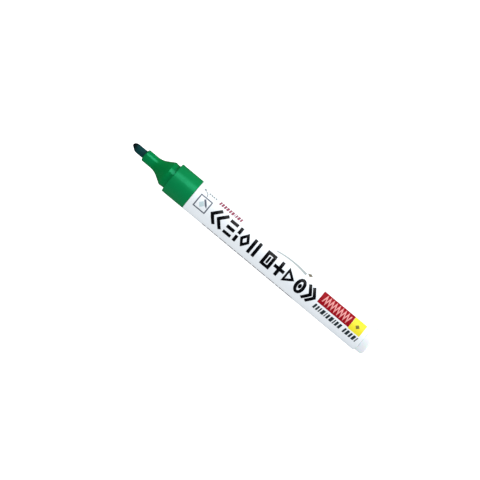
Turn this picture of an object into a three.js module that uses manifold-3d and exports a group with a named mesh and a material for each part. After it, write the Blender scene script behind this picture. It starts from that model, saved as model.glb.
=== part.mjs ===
// A whiteboard marker with its cap off, lying on its side.
//
// +X runs along the marker's axis towards the writing tip, +Z is up. The origin is on the surface that the
// marker lies on, under the middle of its length. Sizes are in millimetres.
//
// Every round piece is a profile of [x, radius] points turned about the marker's axis. An outside profile
// runs from the rear to the front, and an inside one then runs back from the front to the rear.
import * as THREE from "three";
import { mergeVertices } from "three/addons/utils/BufferGeometryUtils.js";
import Module from "manifold-3d";

const wasm = await Module();
wasm.setup();

// ---- Driving dimensions ---------------------------------------------------------------------------------

const OVERALL_LENGTH = 132; // writing tip to end face, cap off
const SIDES = 48; // facets round each turned piece; one facet faces straight down

const BODY_RADIUS = 7.3; // barrel and the nib holder's grip ring
const BORE_RADIUS = 6.2; // inside of the barrel
const EDGE = 0.3; // rounding of moulded edges

const NIB_RADIUS = 1.88;
const NIB_LENGTH = 44;
const NIB_STICKS_OUT = 6.6;
const NIB_DOME = 2.3; // length of the bullet-shaped end
const NIB_BLUNT = 0.5; // radius of the flat at its very tip
const NIB_CLEARANCE = 0.08; // round the nib, so that it slides in its holder

const TUBE_RADIUS = 2.86; // the holder's slim front tube
const TUBE_LENGTH = 5.1;
const FLARE_RADIUS = 8; // the hollow curve that opens the tube out
const FLARE_ANGLE = THREE.MathUtils.degToRad(31);
const CAP_SEAT_RADIUS = 5.86; // the collar that a cap grips
const CAP_SEAT_LENGTH = 2.87;
const CAP_BEAD = 0.1; // height of the bead at the collar's front
const CAP_BEAD_LENGTH = 0.7;
const RING_LENGTH = 11.5;

const BARREL_LENGTH = 94.7;
const SPIGOT_LENGTH = 6; // how far the holder and the end plug go into the barrel
const SPIGOT_RADIUS = 6.08;
const SPIGOT_BEAD = 0.07;
const SPIGOT_LEAD = 0.3; // how much the chamfer narrows a spigot's end
const SEAT_GAP = 0.05; // between the faces of pieces that butt together

const PLUG_RADIUS = 6.72;
const PLUG_EDGE = 1.2;
const PLUG_WALL = 1.1;

const CORE_RADIUS = 5.8; // the fibre ink reservoir
const FILM_INSIDE = 5.86; // the film wrapped round it
const FILM_OUTSIDE = 6.0;
const CORE_REAR = -52;
const CORE_HOLE_SPARE = 0.5; // depth left behind the nib's tail

// ---- Stations along the axis, from the writing tip back -------------------------------------------------

const tipX = OVERALL_LENGTH / 2;
const tubeFrontX = tipX - NIB_STICKS_OUT;
const flareFrontX = tubeFrontX - TUBE_LENGTH;
const flareRise = FLARE_RADIUS * (1 - Math.cos(FLARE_ANGLE));
const flareRearX = flareFrontX - FLARE_RADIUS * Math.sin(FLARE_ANGLE);
const coneDrop = CAP_SEAT_RADIUS + CAP_BEAD - EDGE - TUBE_RADIUS - flareRise;
const seatFrontX = flareRearX - coneDrop / Math.tan(FLARE_ANGLE);
const ringFrontX = seatFrontX - EDGE - CAP_SEAT_LENGTH;
const ringRearX = ringFrontX - RING_LENGTH;
const barrelFrontX = ringRearX - SEAT_GAP;
const barrelRearX = barrelFrontX - BARREL_LENGTH;
const plugHeadX = barrelRearX - SEAT_GAP;
const endX = tipX - OVERALL_LENGTH;
const spigotRearX = ringRearX - SPIGOT_LENGTH;
const coreFrontX = spigotRearX - SEAT_GAP;
const nibRearX = tipX - NIB_LENGTH;
const nibBore = NIB_RADIUS + NIB_CLEARANCE;
const axisHeight = BODY_RADIUS * Math.cos(Math.PI / SIDES);

// ---- Shape helpers --------------------------------------------------------------------------------------

// Points of a rounded corner or curve: an arc about [x, radius] from one angle to another, in degrees, where
// 0 points along +X and 90 points away from the axis.
function arc(x, radius, bend, fromDegrees, toDegrees, steps) {
  return Array.from({ length: steps + 1 }, (_, i) => {
    const a = THREE.MathUtils.degToRad(fromDegrees + ((toDegrees - fromDegrees) * i) / steps);
    return [x + bend * Math.cos(a), radius + bend * Math.sin(a)];
  });
}

// A profile turned about the X axis, with a facet facing straight down.
function turned(profile) {
  const points = profile.map(([x, radius]) => new THREE.Vector2(radius, x));
  const geometry = new THREE.LatheGeometry(points, SIDES, Math.PI / SIDES);
  return geometry.rotateZ(-Math.PI / 2);
}

// A closed profile, for a piece with a hole right through it.
const turnedRing = (profile) => turned([...profile, profile[0]]);

function toSolid(geometry) {
  const bare = geometry.clone();
  bare.deleteAttribute("normal");
  bare.deleteAttribute("uv");
  const merged = mergeVertices(bare, 1e-4);
  return new wasm.Manifold(
    new wasm.Mesh({
      numProp: 3,
      vertProperties: new Float32Array(merged.attributes.position.array),
      triVerts: new Uint32Array(merged.index.array),
    }),
  );
}

function toGeometry(solid) {
  const { vertProperties, triVerts } = solid.getMesh();
  const geometry = new THREE.BufferGeometry();
  geometry.setAttribute("position", new THREE.BufferAttribute(vertProperties, 3));
  geometry.setIndex(new THREE.BufferAttribute(triVerts, 1));
  geometry.computeVertexNormals();
  return geometry;
}

// The two beads round a spigot that runs from rearX to frontX, as profile points from rear to front.
function spigotBeads(rearX, frontX) {
  const HALF_WIDTH = 0.4;
  const spacing = (frontX - rearX) / 3;
  return [1, 2].flatMap((n) => {
    const x = rearX + n * spacing;
    return [
      [x - HALF_WIDTH, SPIGOT_RADIUS],
      [x, SPIGOT_RADIUS + SPIGOT_BEAD],
      [x + HALF_WIDTH, SPIGOT_RADIUS],
    ];
  });
}

// ---- Pieces ---------------------------------------------------------------------------------------------

// The fibre nib, bullet-shaped at both ends so that it can be turned round. The writing end is worn to a
// small slanting flat on one side.
function nibGeometry() {
  const DOME_STEPS = 7;
  const dome = (baseX, direction) =>
    Array.from({ length: DOME_STEPS + 1 }, (_, i) => {
      const a = (i / DOME_STEPS) * (Math.PI / 2);
      const radius = NIB_BLUNT + (NIB_RADIUS - NIB_BLUNT) * Math.cos(a);
      return [baseX + direction * NIB_DOME * Math.sin(a), radius];
    });
  const rear = dome(nibRearX + NIB_DOME, -1).reverse();
  const front = dome(tipX - NIB_DOME, 1);
  const rod = toSolid(turned([[nibRearX, 0], ...rear, ...front, [tipX, 0]]));

  const WEAR_ANGLE = THREE.MathUtils.degToRad(35); // between the flat and the axis
  const WEAR_BACK = 1.24; // a point on the flat, back from the tip
  const WEAR_OUT = 1.02; // and out from the axis
  const WEAR_SIZE = 8;
  const worn = new THREE.BoxGeometry(WEAR_SIZE, WEAR_SIZE, WEAR_SIZE)
    .translate(0, WEAR_SIZE / 2, 0)
    .rotateZ(-WEAR_ANGLE)
    .translate(tipX - WEAR_BACK, WEAR_OUT, 0);
  return toGeometry(rod.subtract(toSolid(worn)));
}

// The coloured holder: slim tube, flare, cap seat and grip ring in one moulding, with a spigot that presses
// into the barrel. Three grooves in the nib's bore let air back in as ink leaves.
function nibHolderGeometry() {
  const WALL = 1.2;
  const TUBE_CHAMFER = 0.5;
  const BORE_PAST_SEAT = 1.5; // how far the nib's bore runs in behind the collar's front
  const CAVITY_TAPER = 3.5; // length over which the bore opens out into the wide cavity
  const boreRearX = seatFrontX - BORE_PAST_SEAT;
  const cavityFrontX = boreRearX - CAVITY_TAPER;
  const cavityRadius = SPIGOT_RADIUS - WALL;
  const flareDegrees = THREE.MathUtils.radToDeg(FLARE_ANGLE);
  const outside = [
    [spigotRearX, SPIGOT_RADIUS - SPIGOT_LEAD],
    [spigotRearX + 2 * SPIGOT_LEAD, SPIGOT_RADIUS],
    ...spigotBeads(spigotRearX, ringRearX),
    [ringRearX, SPIGOT_RADIUS],
    ...arc(ringRearX + EDGE, BODY_RADIUS - EDGE, EDGE, 180, 90, 2),
    ...arc(ringFrontX - EDGE, BODY_RADIUS - EDGE, EDGE, 90, 0, 3),
    [ringFrontX, CAP_SEAT_RADIUS],
    [seatFrontX - CAP_BEAD_LENGTH - 3 * CAP_BEAD, CAP_SEAT_RADIUS],
    [seatFrontX - CAP_BEAD_LENGTH, CAP_SEAT_RADIUS + CAP_BEAD],
    ...arc(seatFrontX - EDGE, CAP_SEAT_RADIUS + CAP_BEAD - EDGE, EDGE, 90, 90 - flareDegrees, 2),
    ...arc(flareFrontX, TUBE_RADIUS + FLARE_RADIUS, FLARE_RADIUS, 270 - flareDegrees, 270, 6),
    [tubeFrontX - TUBE_CHAMFER, TUBE_RADIUS],
    [tubeFrontX, TUBE_RADIUS - TUBE_CHAMFER],
  ];
  const inside = [
    [tubeFrontX, nibBore],
    [boreRearX, nibBore],
    [cavityFrontX, cavityRadius],
    [spigotRearX, cavityRadius],
  ];
  let holder = toSolid(turnedRing([...outside, ...inside]));

  const GROOVES = 3;
  const GROOVE_WIDTH = 0.5;
  const GROOVE_DEPTH = 0.35;
  const grooveLength = tubeFrontX - cavityFrontX + 1;
  for (let n = 0; n < GROOVES; n++) {
    const groove = new THREE.BoxGeometry(grooveLength, GROOVE_WIDTH, nibBore + GROOVE_DEPTH)
      .translate(cavityFrontX + grooveLength / 2, 0, (nibBore + GROOVE_DEPTH) / 2)
      .rotateX((n * 2 * Math.PI) / GROOVES);
    holder = holder.subtract(toSolid(groove));
  }
  return toGeometry(holder);
}

// The white barrel: a plain tube, open at both ends.
function barrelGeometry() {
  const LEAD_IN = 0.35;
  return turnedRing([
    ...arc(barrelRearX + EDGE, BODY_RADIUS - EDGE, EDGE, 180, 90, 2),
    ...arc(barrelFrontX - EDGE, BODY_RADIUS - EDGE, EDGE, 90, 0, 2),
    [barrelFrontX, BORE_RADIUS + LEAD_IN],
    [barrelFrontX - LEAD_IN, BORE_RADIUS],
    [barrelRearX + LEAD_IN, BORE_RADIUS],
    [barrelRearX, BORE_RADIUS + LEAD_IN],
  ]);
}

// The fibre reservoir, with a hole in its front end for the tail of the nib.
function inkReservoirGeometry() {
  const holeRadius = NIB_RADIUS + 0.2;
  const holeRearX = nibRearX - CORE_HOLE_SPARE;
  return turned([
    [CORE_REAR, 0],
    [CORE_REAR, CORE_RADIUS],
    [coreFrontX, CORE_RADIUS],
    [coreFrontX, holeRadius],
    [holeRearX + NIB_DOME / 2, holeRadius],
    [holeRearX, 0],
  ]);
}

// The clear film wrapped round the reservoir's side.
function reservoirFilmGeometry() {
  return turnedRing([
    [CORE_REAR, FILM_OUTSIDE],
    [coreFrontX, FILM_OUTSIDE],
    [coreFrontX, FILM_INSIDE],
    [CORE_REAR, FILM_INSIDE],
  ]);
}

// The end plug: a rounded head, a hollow spigot that presses into the barrel, and crossed fins inside it that
// push the reservoir forward onto the nib.
function endPlugGeometry() {
  const END_WALL = 1.8;
  const cupRadius = SPIGOT_RADIUS - PLUG_WALL;
  const spigotFrontX = plugHeadX + SPIGOT_LENGTH;
  const floorX = endX + END_WALL;
  const cup = toSolid(
    turned([
      [endX, 0],
      ...arc(endX + PLUG_EDGE, PLUG_RADIUS - PLUG_EDGE, PLUG_EDGE, 180, 90, 5),
      ...arc(plugHeadX - EDGE, PLUG_RADIUS - EDGE, EDGE, 90, 0, 2),
      [plugHeadX, SPIGOT_RADIUS],
      ...spigotBeads(plugHeadX, spigotFrontX),
      [spigotFrontX - 2 * SPIGOT_LEAD, SPIGOT_RADIUS],
      [spigotFrontX, SPIGOT_RADIUS - SPIGOT_LEAD],
      [spigotFrontX, cupRadius],
      [floorX, cupRadius],
      [floorX, 0],
    ]),
  );

  const FIN_THICKNESS = 1;
  const FIN_NARROWING = 2; // on each side, from the spigot's mouth to the fins' tips
  const finRearX = floorX - END_WALL / 2;
  const finShoulderX = spigotFrontX - 1;
  const finTipX = CORE_REAR - SEAT_GAP;
  const finHalfWidth = cupRadius + PLUG_WALL / 2;
  const halfOutline = [
    [finRearX, finHalfWidth],
    [finShoulderX, finHalfWidth],
    [finTipX, finHalfWidth - FIN_NARROWING],
  ];
  const otherHalf = halfOutline.map(([x, across]) => [x, -across]).reverse();
  const corners = [...halfOutline, ...otherHalf];
  const finShape = new THREE.Shape(corners.map(([x, across]) => new THREE.Vector2(x, across)));
  const fin = new THREE.ExtrudeGeometry(finShape, { depth: FIN_THICKNESS, bevelEnabled: false });
  fin.translate(0, 0, -FIN_THICKNESS / 2);
  const upright = fin.clone().rotateX(Math.PI / 2);
  return toGeometry(cup.add(toSolid(fin)).add(toSolid(upright)));
}

// ---- Materials and assembly -----------------------------------------------------------------------------

const plastic = (color, roughness) => new THREE.MeshStandardMaterial({ color, roughness, metalness: 0 });

const materials = {
  barrel: plastic(0xf2f4f6, 0.28),
  holder: plastic(0x047a45, 0.32),
  plug: plastic(0xe6ecf2, 0.35),
  nib: plastic(0x123a3b, 0.9),
  reservoir: plastic(0x1f6b4a, 0.95),
  film: plastic(0xe8f2ee, 0.15),
};

materials.film.transparent = true;
materials.film.opacity = 0.35;

const pieces = [
  ["nib", nibGeometry(), materials.nib],
  ["nib_holder", nibHolderGeometry(), materials.holder],
  ["barrel", barrelGeometry(), materials.barrel],
  ["ink_reservoir", inkReservoirGeometry(), materials.reservoir],
  ["reservoir_film", reservoirFilmGeometry(), materials.film],
  ["end_plug", endPlugGeometry(), materials.plug],
];

const marker = new THREE.Group();
marker.name = "whiteboard_marker";
marker.position.z = axisHeight;
for (const [name, geometry, material] of pieces) {
  const piece = new THREE.Mesh(geometry, material);
  piece.name = name;
  marker.add(piece);
}

export default marker;
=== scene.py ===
"""A whiteboard marker with its cap off, lying on a pale floor.

Every piece is built in metres in the CAD model's frame: +X runs along the marker's axis to the writing
tip and +Z is up. Round pieces are profiles of (x, radius) points turned about the axis. Angles round the
axis are counted from the top line (+Z) towards -Y, the side that the tops of the printed marks point to.
"""

import math
import random

import bmesh
import bpy
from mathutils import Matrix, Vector, noise


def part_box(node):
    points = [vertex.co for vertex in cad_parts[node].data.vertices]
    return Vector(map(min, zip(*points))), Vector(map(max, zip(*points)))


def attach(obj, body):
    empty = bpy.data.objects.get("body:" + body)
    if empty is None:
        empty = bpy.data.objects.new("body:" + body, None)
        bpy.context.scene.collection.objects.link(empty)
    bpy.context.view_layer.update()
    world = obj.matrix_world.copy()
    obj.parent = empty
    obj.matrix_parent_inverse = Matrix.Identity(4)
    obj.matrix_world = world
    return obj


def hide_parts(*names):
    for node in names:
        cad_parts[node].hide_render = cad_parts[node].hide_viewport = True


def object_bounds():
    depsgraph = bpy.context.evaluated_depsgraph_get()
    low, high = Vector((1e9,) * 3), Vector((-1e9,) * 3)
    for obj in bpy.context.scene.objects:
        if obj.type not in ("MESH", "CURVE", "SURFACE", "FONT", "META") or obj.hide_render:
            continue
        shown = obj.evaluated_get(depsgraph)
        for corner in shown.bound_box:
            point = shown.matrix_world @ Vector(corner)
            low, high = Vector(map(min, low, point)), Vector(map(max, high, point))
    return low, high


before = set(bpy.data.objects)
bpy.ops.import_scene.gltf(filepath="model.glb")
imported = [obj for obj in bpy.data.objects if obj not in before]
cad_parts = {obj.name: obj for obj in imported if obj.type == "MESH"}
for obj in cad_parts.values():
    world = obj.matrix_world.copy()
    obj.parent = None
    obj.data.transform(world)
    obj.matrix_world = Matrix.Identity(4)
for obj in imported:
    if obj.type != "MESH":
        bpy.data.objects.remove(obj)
cad_low, cad_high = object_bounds()

MM = 0.001

# ---- Places taken from the CAD model, in metres --------------------------------------------------

barrel_low, barrel_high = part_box("barrel")
holder_low, holder_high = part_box("nib_holder")
nib_low, nib_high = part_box("nib")
plug_low, plug_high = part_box("end_plug")
core_low, core_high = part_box("ink_reservoir")
film_low, film_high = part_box("reservoir_film")

AXIS_HEIGHT = (barrel_low.z + barrel_high.z) / 2
BODY = (barrel_high.z - barrel_low.z) / 2
PLUG = (plug_high.z - plug_low.z) / 2
NIB = (nib_high.z - nib_low.z) / 2
CORE = (core_high.z - core_low.z) / 2
FILM = (film_high.z - film_low.z) / 2
TIP_X = nib_high.x

# ---- Sizes that only the insides and the fine shapes need ----------------------------------------

BORE = 6.18 * MM  # radius of the barrel's inside
SPIGOT = 6.06 * MM  # radius of the holder's and the plug's press-in ends
SPIGOT_BEAD = 0.06 * MM
SPIGOT_LENGTH = 6 * MM
RING_LENGTH = 11.5 * MM  # of the holder's full-width grip ring
SEAM_GAP = 0.05 * MM  # between pieces that butt
SEGMENTS = 144  # sides of a round piece
SHARP_DEGREES = 35  # edges sharper than this stay sharp
WELD = 1e-8  # points closer than this are one

# ---- Mesh helpers --------------------------------------------------------------------------------


def around(x, radius, angle):
    """The point at a distance from the axis, at an angle round it from the top line towards -Y."""
    return Vector((x, -radius * math.sin(angle), AXIS_HEIGHT + radius * math.cos(angle)))


def rounded(corners, steps=5):
    """A profile from (x, radius, fillet) corners: each corner with a fillet becomes an arc."""
    points = []
    for i, (x, radius, fillet) in enumerate(corners):
        here = Vector((x, radius))
        if not fillet:
            points.append(here)
            continue
        before = Vector(corners[i - 1][:2]) - here
        after = Vector(corners[(i + 1) % len(corners)][:2]) - here
        half = before.angle(after) / 2
        reach = fillet / math.tan(half)
        middle = (before.normalized() + after.normalized()).normalized()
        centre = here + middle * fillet / math.sin(half)
        start = here + before.normalized() * reach - centre
        end = here + after.normalized() * reach - centre
        sweep = start.angle_signed(end)
        for n in range(steps + 1):
            a = -sweep * n / steps
            along = start.x * math.cos(a) - start.y * math.sin(a)
            out = start.x * math.sin(a) + start.y * math.cos(a)
            points.append(centre + Vector((along, out)))
    return [(p.x, p.y) for p in points]


def arc(x, radius, bend, from_degrees, to_degrees, steps):
    """Profile points on an arc about (x, radius). 0 degrees is along +X and 90 is away from the axis."""
    points = []
    for n in range(steps + 1):
        a = math.radians(from_degrees + (to_degrees - from_degrees) * n / steps)
        points.append((x + bend * math.cos(a), radius + bend * math.sin(a)))
    return points


def smooth(mesh, sharp_degrees=SHARP_DEGREES):
    """Shades a mesh smooth, with the edges sharper than an angle kept sharp."""
    for face in mesh.polygons:
        face.use_smooth = True
    mesh.set_sharp_from_angle(angle=math.radians(sharp_degrees))


def placed(name, data):
    """An object in the scene, of a mesh, a light or a camera."""
    piece = bpy.data.objects.new(name, data)
    bpy.context.scene.collection.objects.link(piece)
    return piece


def turned(name, profile, through=False, offset=None, sharp_degrees=SHARP_DEGREES):
    """A closed piece turned about the axis. A profile starts and ends on the axis, or closes on itself
    where a hole runs through. offset(x, radius, angle) gives how far a point moves out from the plain
    round shape."""
    vertices, rings = [], []
    for x, radius in profile:
        ring = []
        for n in range(SEGMENTS if radius > 0 else 1):
            angle = 2 * math.pi * n / SEGMENTS
            moved = radius + offset(x, radius, angle) if offset and radius > 0 else radius
            ring.append(len(vertices))
            vertices.append(around(x, moved, angle))
        rings.append(ring)
    pairs = list(zip(rings, rings[1:]))
    if through:
        pairs.append((rings[-1], rings[0]))
    faces = []
    for first, second in pairs:
        for n in range(SEGMENTS):
            after = (n + 1) % SEGMENTS
            corners = [first[n % len(first)], first[after % len(first)]]
            corners += [second[after % len(second)], second[n % len(second)]]
            faces.append(list(dict.fromkeys(corners)))
    mesh = closed_mesh(name, vertices, faces)
    smooth(mesh, sharp_degrees)
    return placed(name, mesh)


def closed_mesh(name, vertices, faces):
    """A closed mesh with every face turned outwards."""
    mesh = bpy.data.meshes.new(name)
    mesh.from_pydata(vertices, [], faces)
    work = bmesh.new()
    work.from_mesh(mesh)
    bmesh.ops.remove_doubles(work, verts=work.verts, dist=WELD)
    bmesh.ops.recalc_face_normals(work, faces=work.faces)
    work.to_mesh(mesh)
    work.free()
    return mesh


def join_to(piece, *others):
    """Makes one closed piece out of several that overlap."""
    for other in others:
        union = piece.modifiers.new("join", "BOOLEAN")
        union.operation = "UNION"
        union.solver = "EXACT"
        union.object = other
    graph = bpy.context.evaluated_depsgraph_get()
    mesh = bpy.data.meshes.new_from_object(piece.evaluated_get(graph), depsgraph=graph)
    piece.modifiers.clear()
    piece.data = mesh
    for other in others:
        bpy.data.objects.remove(other)
    smooth(mesh)


def spigot_beads(rear_x, front_x):
    """The two beads round a spigot, as profile corners from rear to front."""
    spacing = (front_x - rear_x) / 3
    half = 0.4 * MM
    corners = []
    for n in (1, 2):
        x = rear_x + n * spacing
        for share in (-1, -0.5, 0, 0.5, 1):
            height = SPIGOT_BEAD * math.cos(share * math.pi / 2)
            corners.append((x + share * half, SPIGOT + height, 0))
    return corners


# ---- Materials -----------------------------------------------------------------------------------


NOISE_ROUGHNESS = 0.55
NOISE_SPAN = (0.35, 0.7)  # where most of a noise's values lie
FIBRE_SPAN = (0.35, 0.68)  # the same for the fibres, with a little more contrast


class Nodes:
    """Builds one procedural material: a Principled shader with nodes that vary its colour, gloss and
    relief."""

    def __init__(self, name, **sockets):
        self.material = bpy.data.materials.new(name)
        self.material.use_nodes = True
        self.tree = self.material.node_tree
        self.shader = self.tree.nodes["Principled BSDF"]
        for socket, value in sockets.items():
            self.shader.inputs[socket.replace("_", " ")].default_value = value
        self.place = self.tree.nodes.new("ShaderNodeTexCoord").outputs["Object"]

    def link(self, output, socket):
        self.tree.links.new(output, socket)

    def pattern(self, per_mm, detail=4, along=1.0, distortion=0.0, shift=0.0):
        """A noise with so many waves to the millimetre. along below 1 draws it out along the axis."""
        mapping = self.tree.nodes.new("ShaderNodeMapping")
        mapping.inputs["Scale"].default_value = (along / MM, 1 / MM, 1 / MM)
        mapping.inputs["Location"].default_value = (shift, shift, shift)
        self.link(self.place, mapping.inputs["Vector"])
        waves = self.tree.nodes.new("ShaderNodeTexNoise")
        waves.inputs["Scale"].default_value = per_mm
        waves.inputs["Detail"].default_value = detail
        waves.inputs["Roughness"].default_value = NOISE_ROUGHNESS
        waves.inputs["Distortion"].default_value = distortion
        self.link(mapping.outputs["Vector"], waves.inputs["Vector"])
        return waves.outputs["Fac"]

    def between(self, value, low, high, to_low=0.0, to_high=1.0):
        """The part of a value from low to high, spread over another range."""
        spread = self.tree.nodes.new("ShaderNodeMapRange")
        spread.interpolation_type = "SMOOTHSTEP"
        spread.inputs["From Min"].default_value = low
        spread.inputs["From Max"].default_value = high
        spread.inputs["To Min"].default_value = to_low
        spread.inputs["To Max"].default_value = to_high
        self.link(value, spread.inputs["Value"])
        return spread.outputs["Result"]

    def maths(self, operation, first, second):
        """Two values, or a value and a number, put through one operation."""
        node = self.tree.nodes.new("ShaderNodeMath")
        node.operation = operation
        for socket, value in zip(node.inputs, (first, second)):
            if isinstance(value, (int, float)):
                socket.default_value = value
            else:
                self.link(value, socket)
        return node.outputs["Value"]

    def mixed(self, share, first, second):
        """A colour between two, each a colour or the output of another mix."""
        node = self.tree.nodes.new("ShaderNodeMix")
        node.data_type = "RGBA"
        self.link(share, node.inputs["Factor"])
        for socket, value in ((node.inputs["A"], first), (node.inputs["B"], second)):
            if isinstance(value, tuple):
                socket.default_value = (*value, 1)
            else:
                self.link(value, socket)
        return node.outputs["Result"]

    def axis_place(self):
        """The distance along the axis, in millimetres."""
        split = self.tree.nodes.new("ShaderNodeSeparateXYZ")
        self.link(self.place, split.inputs["Vector"])
        return self.maths("DIVIDE", split.outputs["X"], MM)

    def colour(self, output):
        self.link(output, self.shader.inputs["Base Color"])

    def gloss(self, output, *changes):
        """A roughness, with any changes added to it."""
        for change in changes:
            output = self.maths("ADD", output, change)
        self.link(output, self.shader.inputs["Roughness"])

    def smears(self, per_mm, shift, low):
        """Broad smears from handling, as changes of roughness from low to a little above nothing."""
        return self.between(self.pattern(per_mm, detail=2, shift=shift), 0.45, 0.7, low, 0.06)

    def scratches(self, per_mm, along, shift, depth):
        """Fine scratches along the axis, as changes of roughness."""
        waves = self.pattern(per_mm, detail=2, along=along, distortion=0.6, shift=shift)
        return self.between(waves, 0.66, 0.74, 0, depth)

    def moulded_skin(self, ripples_per_mm, ripple_depth):
        """The fine grain of moulded plastic over broad ripples along its flow."""
        self.relief(self.pattern(5.0, detail=3), 0.0014 * MM)
        self.relief(self.pattern(ripples_per_mm, detail=2, along=0.3, shift=2.0), ripple_depth)

    def relief(self, height, depth):
        """Bumps of a depth in metres, laid over any relief that was set before."""
        bump = self.tree.nodes.new("ShaderNodeBump")
        bump.inputs["Distance"].default_value = depth
        self.link(height, bump.inputs["Height"])
        before = self.shader.inputs["Normal"]
        if before.is_linked:
            self.link(before.links[0].from_socket, bump.inputs["Normal"])
        self.link(bump.outputs["Normal"], before)


def linear(*colour):
    """A screen colour of three values from 0 to 255, as the shader's linear colour."""
    shares = (value / 255 for value in colour)
    return tuple(c / 12.92 if c <= 0.04045 else ((c + 0.055) / 1.055) ** 2.4 for c in shares)


def white_plastic(name, main, second, roughness, wear, **sockets):
    """White moulded plastic: faint flow streaks in the colour, a satin skin, smears and scratches."""
    m = Nodes(name, **sockets)
    flow = m.pattern(0.12, detail=3, along=0.25)
    m.colour(m.mixed(m.between(flow, *NOISE_SPAN), main, second))
    m.gloss(m.smears(0.16, 4.0, -0.03), m.scratches(3.2, 0.06, 9.0, wear), roughness)
    m.moulded_skin(0.5, 0.012 * MM)
    return m.material


def barrel_material():
    white, second = linear(241, 246, 250), linear(236, 242, 248)
    shine = {"IOR": 1.49, "Specular_IOR_Level": 0.3}
    return white_plastic("barrel_white", white, second, roughness=0.3, wear=0.14, **shine)


def plug_material():
    white, second = linear(241, 246, 250), linear(235, 241, 247)
    shine = {"IOR": 1.5, "Specular_IOR_Level": 0.35}
    soft = {"Subsurface_Weight": 0.3, "Subsurface_Scale": 1.2 * MM}
    return white_plastic("plug_white", white, second, roughness=0.34, wear=0.16, **shine, **soft)


def holder_material():
    """Green plastic, glossier in front of its grip ring, with painted shade that darkens the seat and the
    flare in front of the ring, and stained darker where the ink has crept out round the nib."""
    m = Nodes("holder_green", IOR=1.49, Specular_IOR_Level=0.65, Specular_Tint=(0.12, 1, 0.58, 1))
    x, ring_rear, tip = m.axis_place(), barrel_high.x / MM, TIP_X / MM
    ring_front = ring_rear + RING_LENGTH / MM
    flow = m.between(m.pattern(0.12, detail=3, along=0.3), *NOISE_SPAN)
    plain = m.mixed(flow, linear(0, 129, 68), linear(0, 122, 63))
    # painted shade: a darker green over the seat and flare, from the ring's front back to the tube
    painted_shade_green = m.mixed(flow, linear(0, 118, 54), linear(0, 113, 51))
    past_ring = m.between(x, ring_front, ring_front + 4.5)
    before_tube = m.between(x, tip - 13.5, tip - 10.5, 1, 0)
    green = m.mixed(m.maths("MULTIPLY", past_ring, before_tube), plain, painted_shade_green)
    mouth = m.between(x, tip - 9.5, tip - 6.4)
    patches = m.between(m.pattern(1.1, detail=4, shift=3.0), 0.42, 0.66, 0.25, 1.0)
    stain = m.maths("MULTIPLY", m.maths("MULTIPLY", mouth, patches), 0.5)
    m.colour(m.mixed(stain, green, linear(0, 80, 50)))
    satin_ring = m.between(x, ring_front - 0.5, ring_front + 0.5, 0.38, 0.24)
    m.gloss(m.smears(0.2, 5.0, -0.04), m.scratches(3.5, 0.08, 7.0, 0.16), satin_ring)
    m.moulded_skin(0.6, 0.01 * MM)
    return m.material


def nib_material():
    """Bonded fibres soaked with ink, nearly black towards the writing tip."""
    m = Nodes("nib_fibre", IOR=1.4, Specular_IOR_Level=0.12, Sheen_Weight=0.01, Sheen_Roughness=0.5)
    fibres = m.pattern(9.0, detail=3, along=0.05)
    soaked = m.mixed(m.between(fibres, *FIBRE_SPAN), linear(0, 52, 54), linear(4, 66, 66))
    tip = m.between(m.axis_place(), TIP_X / MM - 3.2, TIP_X / MM - 0.6)
    patches = m.between(m.pattern(1.4, detail=3, shift=6.0), 0.3, 0.6, 0.6, 1.0)
    m.colour(m.mixed(m.maths("MULTIPLY", tip, patches), soaked, linear(0, 5, 7)))
    m.gloss(m.between(m.pattern(2.5, detail=3, along=0.3, shift=1.0), *NOISE_SPAN, 0.55, 0.85))
    m.relief(fibres, 0.03 * MM)
    return m.material


def reservoir_material():
    """A bundle of fibres, green with ink and paler where it has run low, towards the rear end."""
    m = Nodes("reservoir_fibre", IOR=1.4, Sheen_Weight=0.3, Sheen_Roughness=0.5)
    fibres = m.pattern(5.0, detail=4, along=0.03)
    wet = m.mixed(m.between(fibres, *FIBRE_SPAN), linear(16, 98, 66), linear(40, 140, 98))
    rear_end = m.between(m.axis_place(), core_low.x / MM - 1, core_low.x / MM + 16, 1, 0)
    patches = m.between(m.pattern(0.35, detail=4, shift=8.0), 0.38, 0.62, 0.2, 0.9)
    m.colour(m.mixed(m.maths("MULTIPLY", rear_end, patches), wet, linear(176, 214, 196)))
    m.gloss(m.between(fibres, 0.3, 0.7, 0.7, 0.95))
    m.relief(fibres, 0.06 * MM)
    return m.material


def film_material():
    """Thin clear film that clings to the fibres."""
    m = Nodes("film_clear", Base_Color=(*linear(226, 240, 234), 1), IOR=1.45, Alpha=0.32)
    m.gloss(m.between(m.pattern(0.5, detail=3), *NOISE_SPAN, 0.12, 0.3))
    m.relief(m.pattern(0.8, detail=3, along=0.3), 0.03 * MM)
    return m.material


INKS = {  # screen colour where the ink is full, screen colour where it is thin, roughness, shine
    "ink_black": ((5, 7, 12), (14, 16, 22), 0.28, 0.16),
    "ink_grey": ((92, 98, 112), (118, 124, 136), 0.38, 0.33),
    "ink_pale_blue": ((190, 211, 216), (204, 222, 226), 0.36, 0.33),
    "ink_faint_grey": ((128, 138, 140), (150, 160, 160), 0.4, 0.33),
    "ink_dull_red": ((150, 72, 92), (170, 98, 114), 0.38, 0.33),
    "ink_dark_teal": ((34, 50, 56), (56, 72, 78), 0.36, 0.33),
    "ink_red": ((150, 4, 22), (160, 10, 28), 0.33, 0.08),
    "ink_yellow": ((236, 224, 48), (230, 214, 40), 0.34, 0.2),
    "ink_pale_pink": ((228, 150, 148), (220, 132, 130), 0.36, 0.33),
    "ink_olive": ((116, 106, 12), (138, 128, 22), 0.36, 0.33),
    "ink_light_grey": ((164, 172, 172), (180, 186, 186), 0.38, 0.33),
    "ink_gold": ((116, 108, 90), (136, 128, 110), 0.32, 0.33),
    "ink_mid_grey": ((138, 132, 134), (160, 154, 156), 0.38, 0.33),
}


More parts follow.
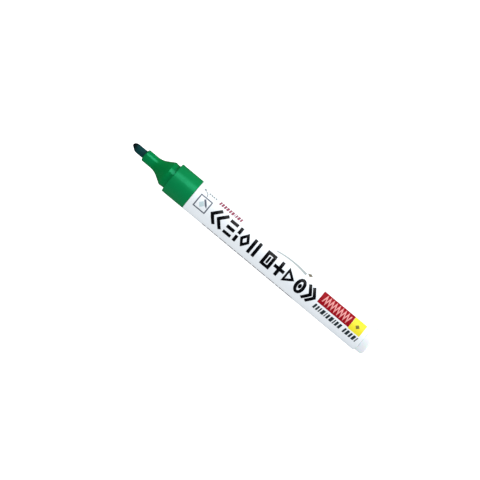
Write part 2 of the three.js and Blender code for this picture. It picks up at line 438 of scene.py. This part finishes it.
def ink_material(name):
    """Screen-printed ink: a little thinner in places, with a grainy skin."""
    full, thin, roughness, shine = INKS[name]
    m = Nodes(name, IOR=1.48, Specular_IOR_Level=shine)
    m.colour(m.mixed(m.between(m.pattern(1.6, detail=5), 0.5, 0.78), linear(*full), linear(*thin)))
    grain = m.pattern(2.5, detail=3, shift=2.0)
    m.gloss(m.between(grain, *NOISE_SPAN, roughness - 0.06, roughness + 0.08))
    m.relief(m.pattern(7.0, detail=2), 0.0012 * MM)
    return m.material


# ---- The marker's pieces -------------------------------------------------------------------------


def barrel():
    """The white tube. Its front end butts on the holder's ring and its rear end on the plug's head."""
    front, rear = barrel_high.x, barrel_low.x
    edge, lead_in = 0.22 * MM, 0.35 * MM
    profile = rounded(
        [
            (rear, BODY, edge * 1.4),
            (front, BODY, edge),
            (front, BORE + lead_in, 0),
            (front - lead_in, BORE, 0),
            (rear + lead_in, BORE, 0),
            (rear, BORE + lead_in, 0),
        ]
    )
    piece = turned("barrel_tube", profile, through=True)
    piece.data.materials.append(barrel_material())
    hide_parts("barrel")
    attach(piece, "barrel")


def nib_holder():
    """The green front moulding, with vent grooves in its bore and a faint mould line down each side."""
    ring_rear = barrel_high.x + SEAM_GAP
    ring_front = ring_rear + RING_LENGTH
    tube_front = holder_high.x
    tube_rear = tube_front - 5.1 * MM
    tube, tube_chamfer = 2.86 * MM, 0.5 * MM
    flare, flare_degrees, flare_steps = 8 * MM, 31, 14
    cone = arc(tube_rear, tube + flare, flare, 270 - flare_degrees, 270, flare_steps)
    cone_rear, cone_radius = cone[0]
    seat, bead = 5.86 * MM, 0.1 * MM
    seat_front = cone_rear - (seat + bead - cone_radius) / math.tan(math.radians(flare_degrees))
    bead_rear, bead_front = seat_front - 1.3 * MM, seat_front - 0.8 * MM
    outside = rounded(
        [
            (holder_low.x, SPIGOT, 0.4 * MM),
            *spigot_beads(holder_low.x, ring_rear),
            (ring_rear, SPIGOT, 0.1 * MM),
            (ring_rear, BODY, 0.22 * MM),
            (ring_front, BODY, 0.3 * MM),
            (ring_front, seat, 0.15 * MM),
            (bead_rear, seat, 0.4 * MM),
            (bead_front, seat + bead, 0.4 * MM),
            (seat_front, seat + bead, 0.35 * MM),
            *((x, radius, 0) for x, radius in cone),
            (tube_front - tube_chamfer, tube, 0.25 * MM),
            (tube_front, tube - tube_chamfer, 0.12 * MM),
        ]
    )
    bore, lead_in, bore_steps = NIB + 0.08 * MM, 0.15 * MM, 6
    bore_length = tube_front - (seat_front - 1.2 * MM)
    cavity, cavity_front = SPIGOT - 1.2 * MM, seat_front - 4.7 * MM
    inside = [
        (tube_front, bore + lead_in),
        (tube_front - lead_in, bore),
        *((tube_front - bore_length * n / bore_steps, bore) for n in range(1, bore_steps + 1)),
        (cavity_front, cavity),
        (holder_low.x, cavity),
    ]
    grooves, groove_depth, groove_half, groove_edge = 3, 0.35 * MM, 0.28 * MM, 0.1 * MM
    line_height, line_half, lines_degrees = 0.025 * MM, 0.24 * MM, 80
    bore_limit, outside_limit = bore + 0.2 * MM, tube - tube_chamfer - 0.1 * MM

    def offset(x, radius, angle):
        if radius < bore_limit:
            turn = 2 * math.pi / grooves
            aside = abs((angle + turn / 2) % turn - turn / 2) * radius
            return groove_depth * max(0.0, min(1.0, (groove_half - aside) / groove_edge + 0.5))
        if radius < outside_limit or x < ring_rear:
            return 0.0
        aside = abs((angle + math.radians(lines_degrees)) % math.pi - math.pi / 2) * radius
        return line_height * max(0.0, 1 - aside / line_half)

    piece = turned("nib_holder_moulding", [*outside, *inside], through=True, offset=offset)
    piece.data.materials.append(holder_material())
    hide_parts("nib_holder")
    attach(piece, "barrel")


def nib():
    """The fibre nib: fine ridges along it, round ends, and a worn slanting flat on the writing end."""
    rear, front = nib_low.x, nib_high.x
    dome, blunt, body_steps, dome_steps = 2.3 * MM, 0.5 * MM, 40, 14
    ridge_height, grain_height = 0.004, 0.012  # millimetres
    draw, ridge_waves = random.Random(11), 14
    waves = [
        (draw.uniform(0, 2 * math.pi), draw.randint(9, 67), draw.uniform(0.2, 1.0))
        for _ in range(ridge_waves)
    ]

    def ridges(x, radius, angle):
        twist = 0.25 * noise.noise(Vector((x / MM * 0.12, 0, 5.0)))
        ridge = sum(height * math.sin(count * (angle + twist) + phase) for phase, count, height in waves)
        grain = noise.noise(Vector((x / MM * 0.9, math.sin(angle) * 6, math.cos(angle) * 6)))
        return radius / NIB * (ridge_height * ridge + grain_height * grain - grain_height) * MM

    bullet = [(0, 0), (0, blunt / 2)]
    for n in range(dome_steps + 1):
        a = math.pi / 2 * n / dome_steps
        bullet.append((dome * (1 - math.cos(a)), blunt + (NIB - blunt) * math.sin(a)))
    profile = [(rear + back, radius) for back, radius in bullet]
    for n in range(1, body_steps):
        profile.append((rear + dome + (front - rear - 2 * dome) * n / body_steps, NIB))
    profile += [(front - back, radius) for back, radius in reversed(bullet)]
    piece = turned("nib_fibre_rod", profile, offset=ridges, sharp_degrees=60)

    slant, on_flat = math.radians(35), Vector((front - 1.24 * MM, 1.02 * MM, 0))
    square_to_flat = Vector((math.sin(slant), math.cos(slant), 0))
    worn_off, roughness = 0.97, 0.02 * MM
    for vertex in piece.data.vertices:
        past = (vertex.co - on_flat).dot(square_to_flat)
        if past > 0:
            rough = roughness * noise.noise(vertex.co / MM * 3)
            vertex.co -= square_to_flat * (past * worn_off + rough)
    piece.data.materials.append(nib_material())
    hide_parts("nib")
    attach(piece, "nib")


def ink_reservoir():
    """The fibre core, with an uneven cut rear end and a hole in front for the nib's tail."""
    rear, front = core_low.x, core_high.x
    hole, hole_rear, hole_cone = NIB + 0.2 * MM, nib_low.x - 0.5 * MM, 1 * MM
    end_rings, side_steps = 12, 24
    cut_depth, fibre_depth = 0.18 * MM, 0.03 * MM
    profile = [(rear, 0)]
    for n in range(1, end_rings + 1):
        radius = CORE * n / end_rings
        cut = cut_depth * noise.noise(Vector((rear / MM, radius / MM * 2.2, 1.0)))
        profile.append((rear + abs(cut), radius))
    for n in range(1, side_steps):
        profile.append((rear + (front - rear) * n / side_steps, CORE))
    profile += [(front, CORE), (front, hole), (hole_rear + hole_cone, hole), (hole_rear, 0)]

    def fibres(x, radius, angle):
        if radius < hole + 0.1 * MM:
            return 0.0
        round_place = Vector((math.sin(angle) * 22, math.cos(angle) * 22, x / MM * 0.04))
        return -fibre_depth * (1 + noise.noise(round_place))

    piece = turned("reservoir_fibre_core", profile, offset=fibres, sharp_degrees=50)
    piece.data.materials.append(reservoir_material())
    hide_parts("ink_reservoir")
    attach(piece, "barrel")


def reservoir_film():
    """The film round the reservoir, with the lap where its two edges meet."""
    rear, front = film_low.x, film_high.x
    inside, steps = CORE + 0.03 * MM, 20
    lap_degrees, lap_height = 18, 0.05 * MM
    outer = [(rear + (front - rear) * n / steps, FILM) for n in range(steps + 1)]
    profile = [*outer, (front, inside), (rear, inside)]

    def lap(x, radius, angle):
        on_outside = radius > FILM - 0.01 * MM
        return lap_height if on_outside and math.degrees(angle) < lap_degrees else 0.0

    piece = turned("reservoir_film_wrap", profile, through=True, offset=lap)
    piece.data.materials.append(film_material())
    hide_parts("reservoir_film")
    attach(piece, "barrel")


def fin(name, rear, shoulder, front, half_width, upright):
    """One flat fin inside the plug, narrowing towards the reservoir."""
    half, tip = 0.5 * MM, half_width - 2 * MM
    outline = [(rear, half_width), (shoulder, half_width), (front, tip), (front, -tip)]
    outline += [(shoulder, -half_width), (rear, -half_width)]
    vertices = []
    for side in (-half, half):
        for x, across in outline:
            y, z = (side, across) if upright else (across, side)
            vertices.append((x, y, AXIS_HEIGHT + z))
    count = len(outline)
    faces = [list(range(count)), list(range(count, 2 * count))]
    faces += [[n, (n + 1) % count, (n + 1) % count + count, n + count] for n in range(count)]
    return placed(name, closed_mesh(name, vertices, faces))


def end_plug():
    """The rear plug: a rounded head with a moulding dimple, and a hollow spigot with crossed fins."""
    end = plug_low.x
    head_front = barrel_low.x - SEAM_GAP
    spigot_front = head_front + SPIGOT_LENGTH
    dimple, dimple_floor = 2.2 * MM, end + 0.22 * MM
    nub, nub_end = 0.55 * MM, dimple_floor - 0.12 * MM
    cup, cup_floor = SPIGOT - 1.1 * MM, end + 1.8 * MM
    profile = [(nub_end, 0)]
    profile += rounded(
        [
            (nub_end, nub, 0.08 * MM),
            (dimple_floor, nub + 0.1 * MM, 0),
            (dimple_floor, dimple - 0.2 * MM, 0.15 * MM),
            (end, dimple, 0.15 * MM),
            (end, PLUG, 1.25 * MM),
            (head_front, PLUG, 0.25 * MM),
            (head_front, SPIGOT, 0),
            *spigot_beads(head_front, spigot_front),
            (spigot_front - 0.5 * MM, SPIGOT, 0.3 * MM),
            (spigot_front, SPIGOT - 0.3 * MM, 0),
            (spigot_front, cup, 0.1 * MM),
            (cup_floor, cup, 0.4 * MM),
            (cup_floor, cup / 2, 0),
        ],
        steps=8,
    )
    profile.append((cup_floor, 0))
    piece = turned("end_plug_moulding", profile)
    fin_rear, fin_shoulder, fin_front = cup_floor - 0.5 * MM, spigot_front - 1 * MM, core_low.x - SEAM_GAP
    fin_half = cup + 0.5 * MM
    flat = fin("fin_flat", fin_rear, fin_shoulder, fin_front, fin_half, upright=False)
    upright = fin("fin_upright", fin_rear, fin_shoulder, fin_front, fin_half, upright=True)
    join_to(piece, flat, upright)
    piece.data.materials.append(plug_material())
    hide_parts("end_plug")
    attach(piece, "end_plug")


# ---- Print on the barrel -------------------------------------------------------------------------
#
# The marks are drawn in millimetres on the barrel's skin unrolled flat: s runs back from the barrel's
# front end, and t runs round the barrel from the top line, up towards the tops of the marks. They are
# plain geometric marks, and none is a letter.

INK_RISE = 0.02  # from the barrel's skin up to the top of the ink
INK_SUNK = 0.01  # from the skin down to its underside
STRIP = 0.3  # width of the strips that bend round the barrel
FLAT_WELD = 1e-5  # flat points closer than this are one


class Print:
    """Marks in one ink, gathered flat and then laid round the barrel as one closed piece."""

    def __init__(self):
        self.flat = bmesh.new()

    def area(self, points):
        """A filled outline."""
        self.flat.faces.new([self.flat.verts.new((s, t, 0)) for s, t in points])
        return self

    def bar(self, s0, t0, s1, t1, slant=0.0, corner=0.0):
        """A filled rectangle. slant leans it over, in s per t, and corner rounds its corners."""
        if not corner:
            points = [(s0, t0), (s1, t0), (s1, t1), (s0, t1)]
        else:
            points = []
            centres = ((s1 - corner, t1 - corner, 0), (s0 + corner, t1 - corner, 90))
            centres += ((s0 + corner, t0 + corner, 180), (s1 - corner, t0 + corner, 270))
            for s, t, first in centres:
                for turn in (0, 22.5, 45, 67.5, 90):
                    a = math.radians(first + turn)
                    points.append((s + corner * math.cos(a), t + corner * math.sin(a)))
        return self.area([(s + (t - t0) * slant, t) for s, t in points])

    def ring(self, outer, inner):
        """The band between two outlines that have the same number of points."""
        count = len(outer)
        rims = [[self.flat.verts.new((s, t, 0)) for s, t in rim] for rim in (outer, inner)]
        for n in range(count):
            m = (n + 1) % count
            self.flat.faces.new([rims[0][n], rims[0][m], rims[1][m], rims[1][n]])
        return self

    def line(self, points, width, end_width=None):
        """A line through points, with mitred bends. Its width is even, or changes evenly to end_width."""
        left, right = [], []
        sharpest = 0.3  # limits how far a mitred bend reaches
        change = (end_width - width) / (len(points) - 1) if end_width else 0
        for n, here in enumerate(points):
            here = Vector(here)
            before = here - Vector(points[n - 1]) if n else Vector(points[1]) - here
            after = Vector(points[n + 1]) - here if n + 1 < len(points) else before
            along = (before.normalized() + after.normalized()).normalized()
            across = Vector((-along.y, along.x))
            square = Vector((-before.normalized().y, before.normalized().x))
            reach = (width + change * n) / 2 / max(sharpest, across.dot(square))
            left.append(self.flat.verts.new((*(here + across * reach), 0)))
            right.append(self.flat.verts.new((*(here - across * reach), 0)))
        for n in range(len(points) - 1):
            self.flat.faces.new([left[n], right[n], right[n + 1], left[n + 1]])
        return self

    def laid(self, name, ink):
        """The finished piece: cut into strips narrow enough to bend round the barrel, and thickened."""
        flat = self.flat
        bmesh.ops.remove_doubles(flat, verts=flat.verts, dist=FLAT_WELD)
        bmesh.ops.triangulate(flat, faces=flat.faces)
        lowest = min(v.co.y for v in flat.verts)
        highest = max(v.co.y for v in flat.verts)
        for n in range(math.ceil(lowest / STRIP), math.floor(highest / STRIP) + 1):
            everything = [*flat.verts, *flat.edges, *flat.faces]
            cut = {"plane_co": (0, n * STRIP, 0), "plane_no": (0, 1, 0), "dist": FLAT_WELD}
            bmesh.ops.bisect_plane(flat, geom=everything, **cut)
        thick = bmesh.ops.extrude_face_region(flat, geom=list(flat.faces), use_keep_orig=True)
        top = {g for g in thick["geom"] if isinstance(g, bmesh.types.BMVert)}
        for vertex in flat.verts:
            s, t, _ = vertex.co
            radius = BODY + (INK_RISE if vertex in top else -INK_SUNK) * MM
            vertex.co = around(barrel_high.x - s * MM, radius, t * MM / BODY)
        bmesh.ops.recalc_face_normals(flat, faces=flat.faces)
        mesh = bpy.data.meshes.new(name)
        flat.to_mesh(mesh)
        flat.free()
        smooth(mesh)
        piece = placed(name, mesh)
        piece.data.materials.append(ink_material(ink))
        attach(piece, "barrel")
        return piece


def ellipse(s, t, half_s, half_t, count=48):
    turns = (2 * math.pi * n / count for n in range(count))
    return [(s + half_s * math.cos(a), t + half_t * math.sin(a)) for a in turns]


def box_outline(s0, t0, s1, t1):
    return [(s0, t0), (s1, t0), (s1, t1), (s0, t1)]


def frame_marks(marks, s0, t0, s1, t1, stroke):
    """A rectangular outline."""
    inner = box_outline(s0 + stroke, t0 + stroke, s1 - stroke, t1 - stroke)
    marks.ring(box_outline(s0, t0, s1, t1), inner)


def shrunk(outline, s, t, share):
    """An outline made smaller about a point."""
    return [(s + (there - s) * share, t + (up - t) * share) for there, up in outline]


def title_marks():
    """Two groups of bold geometric marks along the barrel."""
    marks = Print()
    low, high, stroke = -4.55, 2.7, 1.5
    middle, tall = (low + high) / 2, high - low
    corner = 0.15

    def chevron(s, spread, width=stroke):
        marks.line([(s + spread, high), (s, middle), (s + spread, low)], width)

    def diamond(s0, s1):
        centre, half = (s0 + s1) / 2, (s1 - s0) / 2
        outer = [(s0, middle), (centre, low), (s1, middle), (centre, high)]
        marks.ring(outer, shrunk(outer, centre, middle, 1 - stroke / half))

    def stacked_bars(s0, s1, count=3):
        for n in range(count):
            t0 = low + n * (tall - stroke) / (count - 1)
            marks.bar(s0, t0, s1, t0 + stroke, corner=corner)

    def split_bar(s0, gap=0.9):
        marks.bar(s0, low, s0 + stroke, middle - gap / 2, corner=corner)
        marks.bar(s0, middle + gap / 2, s0 + stroke, high, corner=corner)

    def twin_bars(s0, s1):
        marks.bar(s0, low, s0 + stroke, high, corner=corner)
        marks.bar(s1 - stroke, low, s1, high, corner=corner)

    def framed_block(s0, s1, gap=0.45):
        frame_marks(marks, s0, low, s1, high, stroke)
        inset = stroke + gap
        marks.bar(s0 + inset, low + inset, s1 - inset, high - inset, corner=corner)

    def cross(s0, s1):
        left, right = (s0 + s1 - stroke) / 2, (s0 + s1 + stroke) / 2
        under, over = middle - stroke / 2, middle + stroke / 2
        outline = [(left, low), (right, low), (right, under), (s1, under), (s1, over), (right, over)]
        outline += [(right, high), (left, high), (left, over), (s0, over), (s0, under), (left, under)]
        marks.area(outline)

    def pointer(s0, s1, hole=0.42):
        outer = [(s0, low), (s1, middle), (s0, high)]
        marks.ring(outer, shrunk(outer, (s0 * 2 + s1) / 3, middle, hole))

    def target(s0, s1, spot=(0.75, 1.1)):
        centre, half = (s0 + s1) / 2, (s1 - s0) / 2
        outer = ellipse(centre, middle, half, tall / 2)
        marks.ring(outer, ellipse(centre, middle, half - stroke, tall / 2 - stroke))
        marks.area(ellipse(centre, middle, *spot, 24))

    chevron(11.5, 3.1)
    chevron(14.9, 3.1)
    stacked_bars(19.5, 23.6)
    split_bar(24.8)
    diamond(26.9, 31.8)
    twin_bars(32.6, 36.6)
    framed_block(39.9, 44.8)
    cross(45.6, 51.0)
    pointer(51.7, 56.6)
    target(57.3, 62.1)
    for s in (65.4, 67.6):
        chevron(s, -2.6, stroke * 0.95)
    marks.laid("print_title", "ink_black")


def picture_sign():
    """A small framed sign: a slanted pen over a pale slanted sheet, with faint marks above its frame."""
    sign = Print()
    frame_marks(sign, 2.6, -3.6, 9.0, 2.8, 0.55)
    sign.line([(5.4, 1.75), (7.4, -0.35)], 0.85)
    sign.area([(6.95, -0.55), (7.6, 0.05), (8.3, -1.1)])
    sign.laid("print_sign", "ink_grey")
    sheet = Print().area([(4.1, -0.75), (5.45, 0.75), (6.8, -0.85), (5.45, -2.35)])
    sheet.laid("print_sign_sheet", "ink_pale_blue")
    notes = Print().bar(2.5, 5.1, 3.5, 6.0)
    notes.line([(3.7, 5.1), (4.9, 4.3), (5.4, 3.1)], 0.4)
    note_width, pitch = 0.75, 1.1
    for n in range(4):
        s = 5.3 + n * pitch
        notes.bar(s, 4.9, s + note_width, 5.6)
    notes.laid("print_sign_notes", "ink_faint_grey")


def slanted_row(s0, s1, t0, t1, widths, space, seed, gaps=()):
    """A row of plain slanted bars of mixed widths, leaving the stated gaps."""
    marks, draw, slant = Print(), random.Random(seed), 0.18
    s = s0
    while s < s1:
        width = min(draw.uniform(*widths), s1 - s)
        if not any(low <= s < high for low, high in gaps):
            marks.bar(s, t0, s + width, t1, slant)
        s += width + space
    return marks


def small_rows():
    """The red row over the first group of marks, and the dark row under the blocks."""
    red = slanted_row(11.1, 23.3, 4.1, 5.95, widths=(0.3, 1.1), space=0.4, seed=5)
    red.laid("print_red_row", "ink_dull_red")
    pause = (83.2, 84.9)
    dark = slanted_row(69.2, 92.5, -4.65, -2.15, widths=(0.45, 1.6), space=0.55, seed=9, gaps=[pause])
    dark.laid("print_dark_row", "ink_dark_teal")


def blocks():
    """The red and yellow blocks near the rear end, with a pale zigzag and a small lozenge over them."""
    low, high = -1.25, 4.5
    Print().bar(69.4, low, 86.46, high).laid("print_red_block", "ink_red")
    Print().bar(86.5, low - 0.3, 92.7, high).laid("print_yellow_block", "ink_yellow")
    turns, s0, s1 = 17, 71.05, 85.15
    ends = (low + 1.35, high - 1.2)
    points = [(s0 + (s1 - s0) * n / turns, ends[n % 2]) for n in range(turns + 1)]
    raise_over(Print().line(points, 0.56).laid("print_pale_zigzag", "ink_pale_pink"))
    lozenge = Print().area([(88.5, 1.3), (89.6, 0.3), (90.7, 1.3), (89.6, 2.3)])
    raise_over(lozenge.laid("print_small_lozenge", "ink_olive"))


def raise_over(piece):
    """Lifts a mark by the thickness of the ink that it is printed over."""
    for vertex in piece.data.vertices:
        out = Vector((0, vertex.co.y, vertex.co.z - AXIS_HEIGHT)).normalized()
        vertex.co += out * (INK_RISE + INK_SUNK) * MM


def curved_line():
    """A curved line that widens over the second group of marks, with a small gold lozenge at its end."""
    steps = 24
    s0, t0, s1, t1, crown = 42.8, 4.75, 58.7, 5.05, 0.95
    shares = [n / steps for n in range(steps + 1)]
    points = [(s0 + (s1 - s0) * a, t0 + (t1 - t0) * a + crown * math.sin(math.pi * a)) for a in shares]
    Print().line(points, 0.6, 1.4).laid("print_curved_line", "ink_light_grey")
    lozenge = Print().area([(59.0, 6.1), (60.3, 5.15), (61.7, 6.3), (60.4, 7.25)])
    lozenge.laid("print_gold_lozenge", "ink_gold")


def fine_rows():
    """Rows of fine grey dashes round the back of the barrel, standing in for small print."""
    dashes, draw = Print(), random.Random(21)
    rows, top, pitch, thickness = 8, -9.8, -1.6, 0.8
    start, long_end, short_end = 10.9, 61.6, 60.2
    for row in range(rows):
        t = top + row * pitch
        s, end = start, long_end if row % 3 else short_end
        while s < end:
            length = draw.uniform(1.2, 4.6)
            dashes.bar(s, t, min(s + length, end), t + thickness)
            s += length + draw.uniform(0.5, 0.9)
    dashes.laid("print_fine_rows", "ink_mid_grey")


# ---- Floor, light and camera ---------------------------------------------------------------------


FLOOR_SIDE = 8.0
FLOOR_GLOW = 0.7  # keeps the floor evenly white, as a light table does
AMBIENT = 0.92  # light from all round
MIRRORED = 0.05  # how bright those surroundings are in reflections


def floor():
    """A plain white floor. It catches shadows but throws no light back up onto the marker."""
    half = FLOOR_SIDE / 2
    mesh = bpy.data.meshes.new("floor")
    corners = [(-half, -half, 0), (half, -half, 0), (half, half, 0), (-half, half, 0)]
    mesh.from_pydata(corners, [], [(0, 1, 2, 3)])
    piece = placed("floor", mesh)
    piece.visible_glossy = False
    piece.visible_diffuse = False
    glow = {"Emission_Strength": FLOOR_GLOW, "Emission_Color": (1, 1, 1, 1)}
    m = Nodes("floor_pale", Roughness=0.9, Specular_IOR_Level=0.0, **glow)
    m.colour(m.mixed(m.between(m.pattern(0.02, detail=3), 0.3, 0.7), (0.9,) * 3, (0.93,) * 3))
    piece.data.materials.append(m.material)


def area_light(name, away, size, power, tilt_degrees, turn_degrees=0.0):
    """A soft panel over the marker. tilt leans it from straight overhead towards -Y, and turn swings it
    from there towards -X, the rear end."""
    data = bpy.data.lights.new(name, "AREA")
    data.shape = "RECTANGLE"
    data.size, data.size_y = size
    data.energy = power
    light = placed(name, data)
    tilt, turn = math.radians(tilt_degrees), math.radians(turn_degrees)
    level = math.sin(tilt)
    direction = Vector((-level * math.sin(turn), -level * math.cos(turn), math.cos(tilt)))
    light.location = Vector((0, 0, AXIS_HEIGHT)) + direction * away
    light.rotation_euler = direction.to_track_quat("Z", "X").to_euler()
    return light


def surroundings():
    """Even white light from all round, dimmer in reflections, so that gloss shows mostly the panels."""
    world = bpy.data.worlds.new("soft_white")
    bpy.context.scene.world = world
    world.use_nodes = True
    world.cycles.sampling_method = "NONE"  # the strength depends on the kind of ray
    nodes, links = world.node_tree.nodes, world.node_tree.links
    background = nodes["Background"]
    background.inputs["Color"].default_value = (0.97, 0.985, 1, 1)
    path = nodes.new("ShaderNodeLightPath")
    strength = nodes.new("ShaderNodeMapRange")
    strength.inputs["To Min"].default_value = AMBIENT
    strength.inputs["To Max"].default_value = MIRRORED
    links.new(path.outputs["Is Glossy Ray"], strength.inputs["Value"])
    links.new(strength.outputs["Result"], background.inputs["Strength"])


def lights():
    """One panel seen only as a highlight, and a low one from the side that only lights."""
    surroundings()
    gloss = area_light("gloss_panel", 0.8, (0.5, 0.58), power=3.3, tilt_degrees=38)
    gloss.visible_diffuse = False
    side = area_light("side_panel", 1.0, (0.6, 0.6), power=7.4, tilt_degrees=72, turn_degrees=40)
    side.visible_glossy = False


SENSOR, LENS = 36, 200
VIEW_WIDTH = 204.6 * MM  # across the picture, at the height of the marker's axis
LEAN_DEGREES = 39.75  # between the marker's axis and the picture's horizontal
AIM_RIGHT, AIM_DOWN = 5.18 * MM, 1.59 * MM  # where the marker's middle is from the picture's middle


def camera():
    """Straight down on the marker, from far away, with its tip to the upper left."""
    data = bpy.data.cameras.new("camera")
    data.sensor_width = SENSOR
    data.lens = LENS
    eye = placed("camera", data)
    roll = math.radians(180 + LEAN_DEGREES)
    right = Vector((math.cos(roll), math.sin(roll), 0))
    up = Vector((-math.sin(roll), math.cos(roll), 0))
    middle = Vector(((cad_low.x + cad_high.x) / 2, 0, AXIS_HEIGHT))
    away = Vector((0, 0, VIEW_WIDTH * LENS / SENSOR))
    eye.location = middle - right * AIM_RIGHT + up * AIM_DOWN + away
    eye.rotation_euler = (0, 0, roll)
    bpy.context.scene.camera = eye


# ---- The scene -----------------------------------------------------------------------------------

bpy.context.scene.view_settings.view_transform = "Standard"

camera()
lights()
floor()

barrel()
nib_holder()
nib()
ink_reservoir()
reservoir_film()
end_plug()

title_marks()
picture_sign()
small_rows()
blocks()
curved_line()
fine_rows()

bpy.context.view_layer.update()
